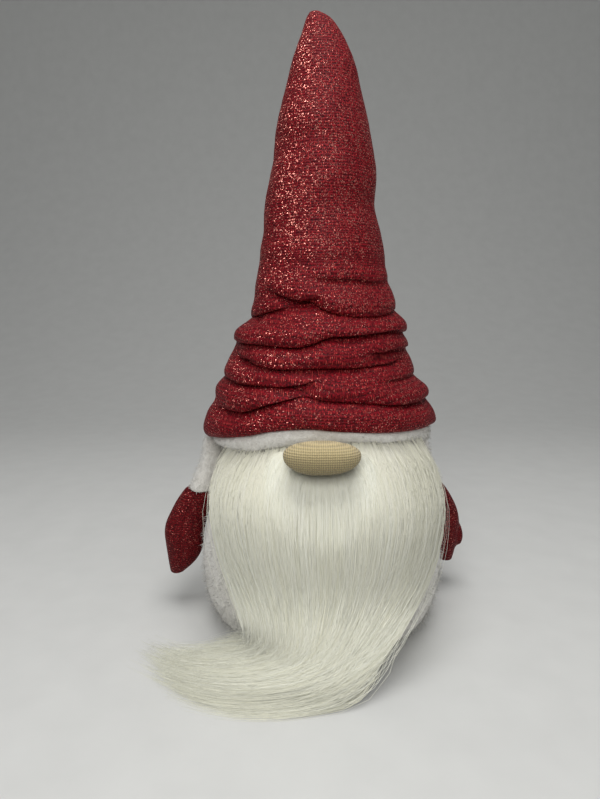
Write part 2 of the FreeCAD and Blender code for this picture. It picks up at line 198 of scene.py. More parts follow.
def glitterKnit(name, look):
    # acrylic rib knit with a metallised film thread: dark red yarn in rows of stitches that catch
    # the light as dots, and bright points of film scattered between them
    material, add = newMaterial(name)
    place = add("Attribute", attribute_name="cloth").outputs["Vector"]
    here = add("TexCoord").outputs["Object"]
    rows = add("TexWave", {"Vector": place, "Scale": math.pi / 10 / (look["rowPitch"] * mm),
                           "Distortion": 0.5, "Detail": 1.0, "Detail Scale": 2.0}, bands_direction="Z")
    rows = rows.outputs["Fac"]
    apart = add("SeparateXYZ", {"Vector": place})
    column = add("Math", {0: apart.outputs["X"], 1: 1 / (look["stitchPitch"] * mm)}, operation="MULTIPLY")
    line = add("Math", {0: apart.outputs["Z"], 1: 1 / (look["rowPitch"] * mm)}, operation="MULTIPLY")
    lattice = add("CombineXYZ", {"X": column, "Y": line})
    loops = add("TexVoronoi", {"Vector": lattice, "Scale": 1.0, "Randomness": 0.45}, voronoi_dimensions="2D")
    loopPick = add("SeparateColor", {"Color": loops.outputs["Color"]})
    grain = add("TexNoise", {"Vector": here, "Scale": 1 / (look["grain"] * mm), "Detail": 3.0})
    cloud = add("TexNoise", {"Vector": place, "Scale": 1 / (look["cloudSize"] * mm), "Detail": 3.0})
    flecks = add("TexVoronoi", {"Vector": here, "Scale": 1 / (look["fleckSize"] * mm), "Randomness": 1.0})
    fleckPick = add("SeparateColor", {"Color": flecks.outputs["Color"]})
    base = add("ValToRGB", {"Fac": grain.outputs["Fac"]}, stops=[(0.28, look["dark"]), (0.42, look["deep"]),
                                                                 (0.55, look["mid"]), (0.72, look["bright"])])
    # painted shade: the yarn's colour is darkened in the grooves between the rows of stitches
    paintedGrooveShade = add("MapRange", {"Value": rows, "From Min": 0.0, "From Max": 0.6, "To Min": 0.6, "To Max": 1.0})
    grooveShadedBase = add("MixRGB", {"Fac": 1.0, "Color1": base, "Color2": paintedGrooveShade}, blend_type="MULTIPLY")
    rounded = add("MapRange", {"Value": loops.outputs["Distance"], "From Min": 0.34, "From Max": 0.16})
    chosen = add("MapRange", {"Value": loopPick.outputs["Red"], "From Min": 0.4, "From Max": 0.95,
                              "To Max": 0.8})
    dotted = add("Math", {0: rounded, 1: chosen}, operation="MULTIPLY")
    # painted highlight: the chosen loop tops are painted a lighter pink, besides the real metallic shine of
    # the film thread they get
    dotHighlightColour = add("MixRGB", {"Fac": dotted, "Color1": grooveShadedBase, "Color2": toLinear(look["dot"])})
    drift = add("MapRange", {"Value": cloud.outputs["Fac"], "From Min": 0.3, "From Max": 0.7, "To Min": -0.05,
                             "To Max": 0.04})
    # partly painted light: more bright flecks from 175 mm upwards brighten the upper cone where the light
    # falls
    upperConeFlecks = add("MapRange", {"Value": apart.outputs["Z"], "From Min": look["fleckRiseFrom"] * mm,
                                 "From Max": look["fleckRiseTo"] * mm, "To Min": 0.0,
                                 "To Max": look["stretch"]})
    more = add("Math", {0: drift, 1: upperConeFlecks}, operation="ADD")
    level = add("Math", {0: fleckPick.outputs["Red"], 1: more}, operation="ADD")
    spark = add("MapRange", {"Value": level, "From Min": 0.945, "From Max": 0.985})
    colour = add("MixRGB", {"Fac": spark, "Color1": dotHighlightColour, "Color2": toLinear(look["fleck"])})
    shine = add("Math", {0: dotted, 1: spark}, operation="MAXIMUM")
    rough = add("MapRange", {"Value": shine, "To Min": 0.62, "To Max": 0.3})
    metal = add("MapRange", {"Value": shine, "To Min": 0.0, "To Max": 0.85})
    height = add("Math", {0: rows, 1: rounded}, operation="ADD")
    bump = add("Bump", {"Strength": 0.6, "Distance": 0.4 * mm, "Height": height})
    # every bit of film lies at its own tilt, so each one catches a different lamp
    tilt = add("VectorMath", {0: flecks.outputs["Color"], 1: (0.5, 0.5, 0.5)}, operation="SUBTRACT")
    tilted = add("VectorMath", {0: tilt, "Scale": shine}, operation="SCALE")
    mixed = add("VectorMath", {0: tilted, 1: (look["filmTilt"],) * 3, 2: bump}, operation="MULTIPLY_ADD")
    facing = add("VectorMath", {0: mixed}, operation="NORMALIZE")
    shader = add("BsdfPrincipled", {"Base Color": colour, "Roughness": rough, "Metallic": metal,
                                    "Normal": facing, "Specular IOR Level": 0.12})
    add("OutputMaterial", {"Surface": shader})
    return material


fleeceLook = {"pale": "#e2dfd8", "shade": "#c8c4bb", "speck": "#8f8379", "nap": 0.9, "clump": 3.2,
              "lint": 2.4}


def boaFleece(name):
    # polyester boa fleece: cut and brushed pile, so a matt off-white surface of tiny soft curls with a
    # few stray dark fibres
    look = fleeceLook
    material, add = newMaterial(name)
    place = add("TexCoord").outputs["Object"]
    nap = add("TexNoise", {"Vector": place, "Scale": 1 / (look["nap"] * mm), "Detail": 3.0,
                           "Distortion": 0.6})
    clump = add("TexNoise", {"Vector": place, "Scale": 1 / (look["clump"] * mm), "Detail": 2.0})
    both = add("Math", {0: nap.outputs["Fac"], 1: clump.outputs["Fac"], 2: 0.22}, operation="MULTIPLY_ADD")
    colour = add("ValToRGB", {"Fac": both}, stops=[(0.3, look["shade"]), (0.6, look["pale"])])
    lint = add("TexVoronoi", {"Vector": place, "Scale": 1 / (look["lint"] * mm)})
    pick = add("SeparateColor", {"Color": lint.outputs["Color"]})
    rare = add("Math", {0: pick.outputs["Green"], 1: 0.93}, operation="GREATER_THAN")
    spot = add("MapRange", {"Value": lint.outputs["Distance"], "From Min": 0.2, "From Max": 0.08,
                            "To Max": 0.75})
    shown = add("Math", {0: rare, 1: spot}, operation="MULTIPLY")
    flecked = add("MixRGB", {"Fac": shown, "Color1": colour, "Color2": toLinear(look["speck"])})
    bump = add("Bump", {"Strength": 0.8, "Distance": 0.8 * mm, "Height": both})
    shader = add("BsdfPrincipled", {"Base Color": flecked, "Roughness": 0.92, "Normal": bump,
                                    "Sheen Weight": 0.35, "Sheen Roughness": 0.6, "Specular IOR Level": 0.25})
    add("OutputMaterial", {"Surface": shader})
    return material


# top and low: painted light on the upper side of the nose and painted shade underneath
noseLook = {"rowPitch": 1.15, "stitch": 1.05, "top": "#cebb8c", "low": "#86774f"}


def cottonJersey(name, low, high):
    # cotton jersey pulled over a stuffed ball: fine rows of stitches, matt, with painted light and shade:
    # creamier on top and darker underneath, as the light falls from above
    look = noseLook
    material, add = newMaterial(name)
    place = add("TexCoord").outputs["Object"]
    parts = add("SeparateXYZ", {"Vector": place})
    # painted light and shade: the colour runs from the darker low colour at the bottom to the lighter top
    # colour
    up = add("MapRange", {"Value": parts.outputs["Z"], "From Min": low * mm, "From Max": high * mm})
    colour = add("ValToRGB", {"Fac": up}, stops=[(0.05, look["low"]), (0.85, look["top"])])
    waves = []
    for pitch, distortion, way in ((look["rowPitch"], 1.2, "Z"), (look["stitch"], 1.6, "X")):
        wave = add("TexWave", {"Vector": place, "Scale": math.pi / 10 / (pitch * mm),
                               "Distortion": distortion, "Detail": 2.0, "Detail Scale": 4.0},
                   bands_direction=way)
        waves.append(wave.outputs["Fac"])
    height = add("Math", {0: waves[0], 1: waves[1]}, operation="ADD")
    # painted shade in the grooves between the stitches, and a slight painted highlight on their ridges
    paintedGrooveShade = add("MapRange", {"Value": height, "From Max": 1.7, "To Min": 0.58, "To Max": 1.1})
    shaded = add("MixRGB", {"Fac": 1.0, "Color1": colour, "Color2": paintedGrooveShade}, blend_type="MULTIPLY")
    bump = add("Bump", {"Strength": 0.8, "Distance": 0.4 * mm, "Height": height})
    shader = add("BsdfPrincipled", {"Base Color": shaded, "Roughness": 0.85, "Normal": bump,
                                    "Sheen Weight": 0.2})
    add("OutputMaterial", {"Surface": shader})
    return material


# root: painted shade where the fibres are deep in the pile; tip: the fibres' own colour; warm: a random tint
pileLook = {
    "beard": {"root": "#ebe8da", "tip": "#f8f8ec", "warm": "#e9e7d0", "rough": 0.42, "gloss": 0.5,
              "lay": 2.2, "through": 0.12, "clear": 0.85},
    "nap": {"root": "#cfccc4", "tip": "#e6e4de", "warm": "#dbd8d0", "rough": 0.8, "gloss": 0.2,
            "lay": 1.2, "through": 0.1, "clear": 0.4},
}


def pileFibre(name, look):
    # modacrylic pile: straight glassy fibres, silky where they are long and matt where they are cut short
    material, add = newMaterial(name)
    along = add("Attribute", attribute_name="along").outputs["Fac"]
    tint = add("Attribute", attribute_name="tint").outputs["Fac"]
    # painted shade: each fibre is darker at its root, deep in the pile, and pale towards its tip
    depth = add("ValToRGB", {"Fac": along}, stops=[(0.0, look["root"]), (0.35, look["tip"])])
    warm = add("MixRGB", {"Fac": tint, "Color1": depth, "Color2": toLinear(look["warm"])})
    lay = add("Attribute", attribute_name="lay").outputs["Vector"]
    outward = add("VectorTransform", {"Vector": lay}, vector_type="NORMAL", convert_from="OBJECT",
                  convert_to="WORLD")
    own = add("NewGeometry").outputs["Normal"]
    mixed = add("VectorMath", {0: outward, 1: (look["lay"],) * 3, 2: own}, operation="MULTIPLY_ADD")
    facing = add("VectorMath", {0: mixed}, operation="NORMALIZE")
    solid = add("BsdfPrincipled", {"Base Color": warm, "Roughness": look["rough"],
                                   "Specular IOR Level": look["gloss"], "Normal": facing})
    glow = add("BsdfTranslucent", {"Color": warm})
    lit = add("MixShader", {0: look["through"], 1: solid, 2: glow})
    # a clear fibre throws only part of a shadow on the next one
    shadow = add("LightPath").outputs["Is Shadow Ray"]
    thin = add("Math", {0: shadow, 1: look["clear"]}, operation="MULTIPLY")
    shader = add("MixShader", {0: thin, 1: lit, 2: add("BsdfTransparent")})
    add("OutputMaterial", {"Surface": shader})
    return material


def grainyStuff(name, stops, size, detail, rough, bumps, stretch=None):
    # stuff mottled in its own colour, with a slight grain that may run upright
    material, add = newMaterial(name)
    place = add("TexCoord").outputs["Object"]
    if stretch:
        place = add("Mapping", {"Vector": place, "Scale": stretch})
    grain = add("TexNoise", {"Vector": place, "Scale": 1 / (size * mm), "Detail": detail}).outputs["Fac"]
    colour = add("ValToRGB", {"Fac": grain}, stops=stops)
    bump = add("Bump", {"Strength": bumps[0], "Distance": bumps[1] * mm, "Height": grain})
    shader = add("BsdfPrincipled", {"Base Color": colour, "Roughness": rough, "Normal": bump})
    add("OutputMaterial", {"Surface": shader})
    return material


def underPile(name):
    # the dense lower ends of the pile: the same cream white seen as fine upright streaks
    return grainyStuff(name, [(0.3, "#e4dfcd"), (0.7, "#f6f3e6")], 0.6, 4.0, 0.6, (0.7, 0.6),
                       (1.0, 1.0, 0.06))


def plainStuff(name, pale, dark, size, rough):
    # hidden or small stuff
    return grainyStuff(name, [(0.3, dark), (0.7, pale)], size, 5.0, rough, (0.4, size * 0.2))


def rolledPanel(name, columns, rows):
    # a flat panel with its rows and columns; the caller rolls it up, then closes the seam
    deselectAll()
    bpy.ops.mesh.primitive_grid_add(x_subdivisions=columns, y_subdivisions=rows - 1, size=2)
    panel = bpy.context.object
    panel.name = panel.data.name = name
    flat = readField(panel, "co")
    turn = np.round((flat[:, 0] + 1) / 2 * columns) / columns
    row = np.round((1 - flat[:, 1]) / 2 * (rows - 1)).astype(int)
    return panel, (turn * 2 - 1) * math.pi, row


def closeSeam(piece):
    reach = 0.02 * mm
    activate(piece)
    bpy.ops.object.mode_set(mode="EDIT")
    bpy.ops.mesh.select_all(action="SELECT")
    bpy.ops.mesh.remove_doubles(threshold=reach)
    bpy.ops.mesh.dissolve_degenerate(threshold=reach)
    bpy.ops.mesh.normals_make_consistent(inside=False)
    bpy.ops.object.mode_set(mode="OBJECT")
    bpy.ops.object.shade_smooth()
    deselectAll()


def wovenCopy(node, name, voxel, rounds):
    # a copy of a plain solid, remade as an even skin that can be shaped
    source = nodes[node]
    piece = source.copy()
    piece.data = source.data.copy()
    piece.name = piece.data.name = name
    for key in list(piece.keys()):
        del piece[key]
    bpy.context.collection.objects.link(piece)
    activate(piece)
    bpy.ops.object.mode_set(mode="EDIT")
    bpy.ops.mesh.select_all(action="SELECT")
    bpy.ops.mesh.remove_doubles(threshold=0.005 * mm)
    bpy.ops.object.mode_set(mode="OBJECT")
    remesh = piece.modifiers.new("skin", "REMESH")
    remesh.mode, remesh.voxel_size = "VOXEL", voxel * mm
    bpy.ops.object.modifier_apply(modifier="skin")
    soften = piece.modifiers.new("soften", "SMOOTH")
    soften.factor, soften.iterations = 0.5, rounds
    bpy.ops.object.modifier_apply(modifier="soften")
    bpy.ops.object.shade_smooth()
    deselectAll()
    return piece


def fibreMesh(name, paths, thick, tints, lays):
    # one closed three-sided fibre along each path; too many and too fine to be modelled one by one
    count, steps, _ = paths.shape
    taper, taperCurve, sides = 0.75, 2.2, 3
    ahead = unit(np.gradient(paths, axis=1))
    side = unit(np.cross(ahead, np.array([0.31, -0.9, 0.3])))  # a fixed guide turns its sides
    up = np.cross(side, ahead)
    share = np.linspace(0, 1, steps)
    radius = thick[:, None] * (1 - taper * share ** taperCurve)
    rings = []
    for corner in range(sides):
        angle = 2 * math.pi * corner / sides
        rings.append(paths + radius[..., None] * (math.cos(angle) * side + math.sin(angle) * up))
    points = np.stack(rings, axis=2).reshape(-1, 3)
    start = (np.arange(count) * steps * sides)[:, None, None, None]
    ring = (np.arange(steps - 1) * sides)[None, :, None, None]
    corners = np.array([[0, 1, 4, 3], [1, 2, 5, 4], [2, 0, 3, 5]])[None, None]
    quads = (start + ring + corners).reshape(-1, 4)
    first = start[:, 0, 0]
    caps = np.concatenate([first + np.array([[0, 2, 1]]), first + (steps - 1) * sides
                           + np.array([[0, 1, 2]])])
    mesh = bpy.data.meshes.new(name)
    mesh.vertices.add(len(points))
    mesh.vertices.foreach_set("co", (points * mm).ravel())
    mesh.loops.add(quads.size + caps.size)
    mesh.loops.foreach_set("vertex_index", np.concatenate([quads.ravel(), caps.ravel()]).astype(np.int32))
    mesh.polygons.add(len(quads) + len(caps))
    starts = np.concatenate([np.arange(len(quads)) * 4, quads.size + np.arange(len(caps)) * 3])
    mesh.polygons.foreach_set("loop_start", starts.astype(np.int32))
    mesh.polygons.foreach_set("use_smooth", np.ones(len(starts), bool))
    mesh.update(calc_edges=True)
    mesh.validate()
    piece = bpy.data.objects.new(name, mesh)
    bpy.context.collection.objects.link(piece)
    storeAttribute(piece, "along", np.tile(np.repeat(share, sides), count))
    storeAttribute(piece, "tint", np.repeat(tints, steps * sides))
    storeAttribute(piece, "lay", np.repeat(lays.reshape(-1, 3), sides, axis=0))
    return piece


hatStyle = {
    "columns": 240,
    "crownRows": [0, 0.5, 1.2, 2.2, 3.6, 5.4],  # how far below the tip
    "rollRadius": 4.8, "rollSteps": 14,
    "lining": [(126, 9.0), (132, 8.2), (142, 8.0), (154, 9.0), (166, 10.0), (178, 11.0), (186, 14.0),
               (187, 500.0)],
    "hemRest": 118.5, "hemFade": 34,
    "seamDepth": 1.3, "seamWide": 1.8,
    "tipCentre": -3.1,
    "lumps": [(0.55, 17, 1), (0.22, 6, 2)], "drift": [(0.5, 21, 3)],
    "swellAbove": (0.2, 2.2, 1.2), "swellBelow": (0.14, -2.1, 1.1),  # cloth pushed out beside each fold
    "lift": 0.5, "sag": (0.45, 1.3, 0.8),
    "foldEnds": (12, 14), "foldShare": (0.78, 0.57), "browReach": (48, 88), "deepest": 10.5,
    "hemLine": [(-180, 107.5), (-140, 108.6), (-110, 110.5), (-76, 113.4), (-50, 118.6), (-35, 122.0),
                (-26, 124.9), (-12, 126.8), (-3, 126.9), (8, 126.1), (21, 124.8), (34, 123.4), (53, 122.6),
                (69, 121.5), (100, 116.0), (140, 109.5), (180, 107.5)],
    "rightLine": [(100, 67.5), (116, 67.2), (120.6, 66.6), (124.6, 65.6), (128.5, 63.9), (136, 61.8),
                  (141, 60.6), (145, 56.5), (149, 53.6), (155.4, 51.2), (160, 50.0), (166, 49.0), (171, 48.2),
                  (176, 47.4), (181, 45.4), (185, 42.5), (190, 40.6), (197, 39.2), (202, 37.2), (206, 36.2),
                  (211, 35.8), (220.5, 34.8), (227.6, 32.4), (234.2, 30.2), (242, 28.8), (248, 28.7),
                  (255.5, 29.1), (263.4, 28.8), (271.3, 27.6), (281.7, 25.3), (291, 23.0), (305, 19.5),
                  (312.6, 17.8), (320.3, 15.0), (327.9, 11.2), (333, 8.4), (337, 5.4), (340, 1.6),
                  (341.8, -3.4)],
    "leftLine": [(100, 69.5), (114, 69.7), (118, 69.8), (122, 69.0), (127.3, 66.8), (131.2, 64.4),
                 (139, 61.8), (143, 60.4), (147.7, 58.0), (151, 57.2), (155, 54.8), (160, 53.0), (165, 52.2),
                 (170, 51.0), (174.4, 48.8), (178, 44.6), (182, 41.0), (186.3, 39.9), (192, 39.0),
                 (197, 38.7), (203.6, 37.4), (209, 37.2), (220.7, 35.6), (228, 33.9), (234.4, 33.2),
                 (242.5, 32.6), (250.5, 31.4), (258.5, 29.7), (266.5, 27.8), (281, 26.4), (288, 25.0),
                 (298, 22.3), (305, 20.1), (313, 18.4), (320.7, 16.2), (328, 13.4), (334, 11.0), (338, 9.6),
                 (340.5, 8.7), (341.8, 7.4)],
    # each fold: its depth, its width, and its line as (degrees from the front, height, share of the depth)
    "folds": [
        (1.1, 7.0, [(-10, 234.5, 1), (19, 237.3, 1), (52, 239.9, 1), (95, 238, 1)]),
        (1.2, 6.5, [(-100, 222, 1), (-70, 222.6, 1), (-22, 221.6, 1), (22, 220.5, 1), (57, 220.3, 1),
                    (100, 221, 1)]),
        (0.9, 6.0, [(-75, 274.6, 1), (-30, 273, 1), (5, 270.6, 1), (60, 258.5, 1)]),
        (1.4, 5.0, [(-95, 210.7, 1), (-68, 210.7, 1), (-21, 208.4, 1), (30, 208, 1), (80, 209.5, 1),
                    (130, 208, 1)]),
        (2.6, 3.4, [(-14, 199.5, 0.7), (3, 198.1, 1), (19, 198.2, 1.2), (46, 196.9, 1), (80, 199, 0.6),
                    (120, 201, 0.5)]),
        (3.6, 2.7, [(-52, 193.4, 0.4), (-41, 191.7, 1), (-30, 189.6, 1.1), (-19, 188.6, 1.2),
                    (-2, 190.5, 0.7)]),
        (6.4, 2.8, [(-115, 178, 0.5), (-85, 178.8, 0.6), (-60, 180.5, 0.6), (-36, 183.4, 0.4),
                    (-19, 185.5, 0.5), (-7, 185.0, 0.9), (3, 183.0, 1.1), (18, 181.0, 1.15), (39, 180.8, 1.1),
                    (60, 182.4, 0.9), (78, 183.4, 0.55), (105, 182, 0.6), (135, 179, 0.6)]),
        (2.6, 2.1, [(-70, 178, 0.8), (-63, 176.7, 1.1), (-44, 174.1, 0.9), (-35, 175.4, 0.6),
                    (-24, 178.4, 0.3)]),
        (6.6, 2.9, [(-98, 165, 0.5), (-72, 165.5, 0.65), (-43, 166.5, 1.05), (-28, 166.0, 1.2),
                    (-15, 165.8, 1.15), (-6, 167.4, 1.0), (2, 170.2, 0.75), (27, 171.0, 0.6),
                    (51, 172.4, 0.55), (70, 171.4, 0.5), (110, 168, 0.55)]),
        (4.0, 2.4, [(-96, 161, 0.4), (-75, 160.4, 0.7), (-57, 158.3, 1), (-44, 159.6, 0.5)]),
        (4.6, 2.5, [(26, 161.4, 0.4), (36, 162.1, 1.0), (43, 163.0, 1.2), (60, 163.3, 0.7), (84, 162, 0.5),
                    (110, 160, 0.5)]),
        (6.4, 2.6, [(-60, 156.2, 0.4), (-42, 155.7, 1), (-26, 155.5, 1.2), (-3, 155.6, 1.0),
                    (29, 155.4, 0.75), (45, 156.0, 0.75), (62, 157.6, 0.4)]),
        (5.8, 2.6, [(-105, 146.4, 0.5), (-82, 146.8, 0.6), (-66, 146.3, 0.8), (-51, 145.9, 1),
                    (-36, 146.3, 1.15), (-21, 146.7, 1.2), (-8, 147.6, 0.9), (2, 149.2, 0.4)]),
        (4.4, 2.7, [(30, 146.5, 0.3), (52, 147.2, 0.5), (78, 147.4, 0.7), (110, 145, 0.8), (135, 143, 0.6)]),
        (6.4, 2.9, [(-66, 130.6, 0.3), (-53, 131.2, 0.8), (-41, 131.9, 0.9), (-34, 135.0, 0.85),
                    (-24, 138.4, 0.8), (-12, 140.3, 0.9), (6, 140.4, 1.1), (21, 139.3, 1.25),
                    (35, 137.2, 1.25), (47, 136.2, 1.1), (66, 135.3, 0.6), (90, 133.5, 0.5),
                    (118, 130, 0.5)]),
        (2.0, 1.8, [(-14, 143.6, 1), (-4, 143.2, 1), (8, 142.6, 1)]),
        (5.0, 3.2, [(-250, 133, 0.7), (-205, 131.5, 1), (-170, 129.5, 1.1), (-130, 130, 1), (-92, 132.0, 0.6),
                    (-76, 135, 0.3)]),
        (5.4, 3.0, [(122, 154.5, 0.6), (150, 152.5, 1), (185, 150.5, 1.1), (222, 152.5, 1), (252, 156, 0.6)]),
        (5.6, 3.0, [(112, 173.5, 0.6), (140, 171, 1), (176, 169.5, 1.1), (210, 171, 1), (236, 172.5, 0.6)]),
        (3.6, 3.2, [(118, 189, 0.6), (150, 186, 1), (190, 187.5, 1), (228, 190, 0.6)]),
        (4.4, 2.6, [(150, 137.5, 0.7), (180, 139.5, 1), (215, 142, 1), (240, 143.5, 0.6)]),
    ],
}


def makeHat():
    style = hatStyle
    top = boxMm("hat_shell")[1][2]
    roll, rollSteps = style["rollRadius"], style["rollSteps"]
    heights = list(top - 0.2 - np.array(style["crownRows"]))
    heights += list(np.arange(top - 8, 212, -1.9)) + list(np.arange(211, 123.6, -0.82))
    inset = [0.0] * len(heights)
    shellRows = len(heights) + rollSteps
    for step in range(1, rollSteps + 1):
        angle = math.pi * step / rollSteps
        heights.append(123.3 - roll * math.sin(angle))
        inset.append(roll * (1 - math.cos(angle)))
    for height, gap in style["lining"]:
        heights.append(height)
        inset.append(gap)
    hat, turn, row = rolledPanel("hatKnit", style["columns"], len(heights))
    heights, inset = np.array(heights), np.array(inset)
    degrees = np.degrees(turn)
    start = heights[row]
    above = start - style["hemRest"]
    hem = smoothTable(style["hemLine"], degrees, 4) - style["hemRest"]
    height = start + hem * (1 - smoothStep(0, style["hemFade"], above))
    right = smoothTable(style["rightLine"], height, 1.6)
    left = smoothTable(style["leftLine"], height, 1.6)
    radius = np.where(row == 0, 0.0, (right + left) / 2)
    shell = row < shellRows
    push, rise = np.zeros(len(row)), np.zeros(len(row))
    fadeOut, fadeIn = style["foldEnds"]
    for deepest, wide, line in style["folds"]:
        first, last = line[0][0], line[-1][0]
        shares = [(spot[0], spot[2]) for spot in line]
        for wrap in (-360, 0, 360):
            spot = degrees + wrap
            inside = (spot > first - 16) & (spot < last + 16) & shell
            if not inside.any():
                continue
            gap = (height - smoothTable(line, spot, 3)) / wide
            deep = deepest * smoothTable(shares, spot, 3)
            fade = smoothStep(first - fadeOut, first + fadeIn, spot)
            fade = fade * (1 - smoothStep(last - fadeIn, last + fadeOut, spot)) * inside
            cut = hill(gap, 1, 0, 1)
            push += fade * deep * (hill(gap, *style["swellAbove"]) + hill(gap, *style["swellBelow"]) - cut)
            rise += fade * deep * (style["lift"] * cut - hill(gap, *style["sag"]))
    # the folds are deepest over the brow and die down towards the sides
    least, more = style["foldShare"]
    facing = least + more * (1 - smoothStep(*style["browReach"], np.abs(degrees)))
    push = np.maximum(push * facing, -style["deepest"])
    rise *= facing
    plain = around(radius, turn, height)
    push += shell * lumps(plain, style["lumps"])
    push -= shell * style["seamDepth"] * hill((math.pi - np.abs(turn)) * radius, 1, 0, style["seamWide"])
    rise += shell * lumps(plain, style["drift"]) * smoothStep(0, 20, top - height)
    radius = np.maximum(radius - inset[row] + push * smoothStep(0, 8, radius), 0)
    radius = np.where((row == 0) | (row == len(heights) - 1), 0, radius)
    place = around(radius, turn, height + rise)
    place[:, 0] += np.where(row == 0, style["tipCentre"], (right - left) / 2)
    writePoints(hat, place)
    storeAttribute(hat, "cloth", np.stack([radius * turn, np.zeros(len(row)), height], axis=1) * mm)
    closeSeam(hat)
    dress(hat, knitMaterial)
    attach(hat, "figure")
    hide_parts("hat_shell", "hat_lining", "hat_filling")
    print("hat:", len(hat.data.polygons), "faces")


bodyStyle = {
    "columns": 180, "spacing": 2.4, "footRadius": 26.0, "headRadius": 55.6,
    "lumps": [(0.5, 22, 4), (0.3, 5, 5)],
    "side": [(0, 50), (0.6, 54.5), (2.2, 57.8), (5.8, 61.5), (10, 64.8), (15.8, 67.6), (24, 70), (38, 71.2),
             (48, 70.6), (60, 68.2), (74, 63.9), (90, 59.6), (104, 56.3), (118, 54.6), (128, 52.0),
             (138, 45.0), (146, 34.0), (152, 20.0), (157, 9.6), (162, 8.2), (166, 13.0), (169.5, 11.0)],
}


def makeBody():
    style = bodyStyle
    low, high = boxMm("body_cover")
    heights, radii = [low[2]] * 2, [0.0, style["footRadius"]]
    profile = style["side"]
    for (z0, r0), (z1, r1) in zip(profile, profile[1:]):
        steps = max(1, round(math.hypot(z1 - z0, r1 - r0) / style["spacing"]))
        for step in range(steps):
            heights.append(z0 + (z1 - z0) * step / steps)
            radii.append(r0 + (r1 - r0) * step / steps)
    heights += [profile[-1][0], high[2] - 0.8]
    radii += [profile[-1][1], 0.0]
    body, turn, row = rolledPanel("bodyFleece", style["columns"], len(heights))
    height, radius = np.array(heights)[row], np.array(radii)[row]
    place = around(radius, turn, height)
    swell = lumps(place, style["lumps"]) * (smoothStep(0, 12, height) * smoothStep(0, 20, radius))
    place += around(swell, turn, np.zeros(len(row)))
    writePoints(body, place)
    closeSeam(body)
    dress(body, fleeceMaterial)
    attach(body, "figure")
    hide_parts("body_cover")
    print("body:", len(body.data.polygons), "faces")
    return body


noseStyle = {"segments": 96, "rings": 64, "back": 63.4, "crown": 0.62, "chin": 0.9, "boxy": 0.93,
             "lumps": [(0.35, 9, 6)]}


def makeNose():
    style = noseStyle
    low, high = boxMm("nose_cover")
    middle, half = (low + high) / 2, (high - low) / 2
    middle[1], half[1] = (low[1] - style["back"]) / 2, (-style["back"] - low[1]) / 2
    deselectAll()
    bpy.ops.mesh.primitive_uv_sphere_add(segments=style["segments"], ring_count=style["rings"], radius=1)
    nose = bpy.context.object
    nose.name = nose.data.name = "noseBall"
    ball = readField(nose, "co")
    ball = np.sign(ball) * np.abs(ball) ** style["boxy"]
    ball[:, 2] *= np.where(ball[:, 2] > 0, style["crown"], style["chin"])
    place = middle + ball * half
    place += pointNormals(nose) * lumps(place, style["lumps"])[:, None]
    writePoints(nose, place)
    activate(nose)
    bpy.ops.object.shade_smooth()
    dress(nose, cottonJersey("cottonJerseyBeige", low[2], high[2]))
    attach(nose, "figure")
    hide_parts("nose_cover", "nose_filling")
    print("nose done")


browStyle = {
    "ring": 200, "tubeSides": 28, "lumps": [(0.55, 9, 7), (0.3, 3.4, 8)],
    "foot": [(-180, 106.0), (-120, 106.5), (-95, 107.8), (-76, 109.3), (-60, 110.5), (-48, 111.2),
             (-35, 113.2), (-26, 115.8), (-15, 118.4), (0, 119.6), (20, 119.4), (40, 117.0), (60, 114.2),
             (76, 111.6), (95, 109.0), (120, 106.5), (180, 106.0)],
    "half": [(-180, 1.7), (-110, 2.2), (-80, 3.0), (-50, 3.9), (-25, 3.6), (0, 3.0), (40, 3.0), (80, 2.8),
             (110, 2.2), (180, 1.7)],
    "headGap": 0.5, "ease": 1.6, "hemLap": 1.5,
}


def makeBrowRoll():
    # the hat's white facing, turned out below the hem as a soft roll
    style = browStyle
    thick = 0.25
    deselectAll()
    bpy.ops.mesh.primitive_torus_add(major_segments=style["ring"], minor_segments=style["tubeSides"],
                                     major_radius=1, minor_radius=thick)
    roll = bpy.context.object
    roll.name = roll.data.name = "browRoll"
    ring = readPoints(roll) * mm
    turn = np.degrees(np.arctan2(ring[:, 0], -ring[:, 1]))
    outward = (np.hypot(ring[:, 0], ring[:, 1]) - 1) / thick
    foot = smoothTable(style["foot"], turn, 4)
    top = smoothTable(hatStyle["hemLine"], turn, 4) + style["hemLap"]
    half = smoothTable(style["half"], turn, 4)
    inner = bodyStyle["headRadius"] + style["headGap"] + style["ease"] * smoothStep(118, 106, foot)
    height = (top + foot) / 2 + (top - foot) / 2 * (ring[:, 2] / thick)
    place = around(inner + half * (1 + outward), np.radians(turn), height)
    writePoints(roll, place)
    place += pointNormals(roll) * lumps(place, style["lumps"])[:, None]
    writePoints(roll, place)
    activate(roll)
    bpy.ops.object.shade_smooth()
    dress(roll, fleeceMaterial)
    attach(roll, "figure")
    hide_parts("brow_band")
    print("brow roll done")
    return roll


armStyle = {
    "skin": 1.1, "sleeveRounds": 5, "mittenRounds": 6,
    "sleeveLumps": [(0.5, 9, 9), (0.25, 3, 10)], "mittenLumps": [(0.5, 11, 11)],
    "seamDepth": 1.0, "seamWide": 1.3, "levels": 24,
}


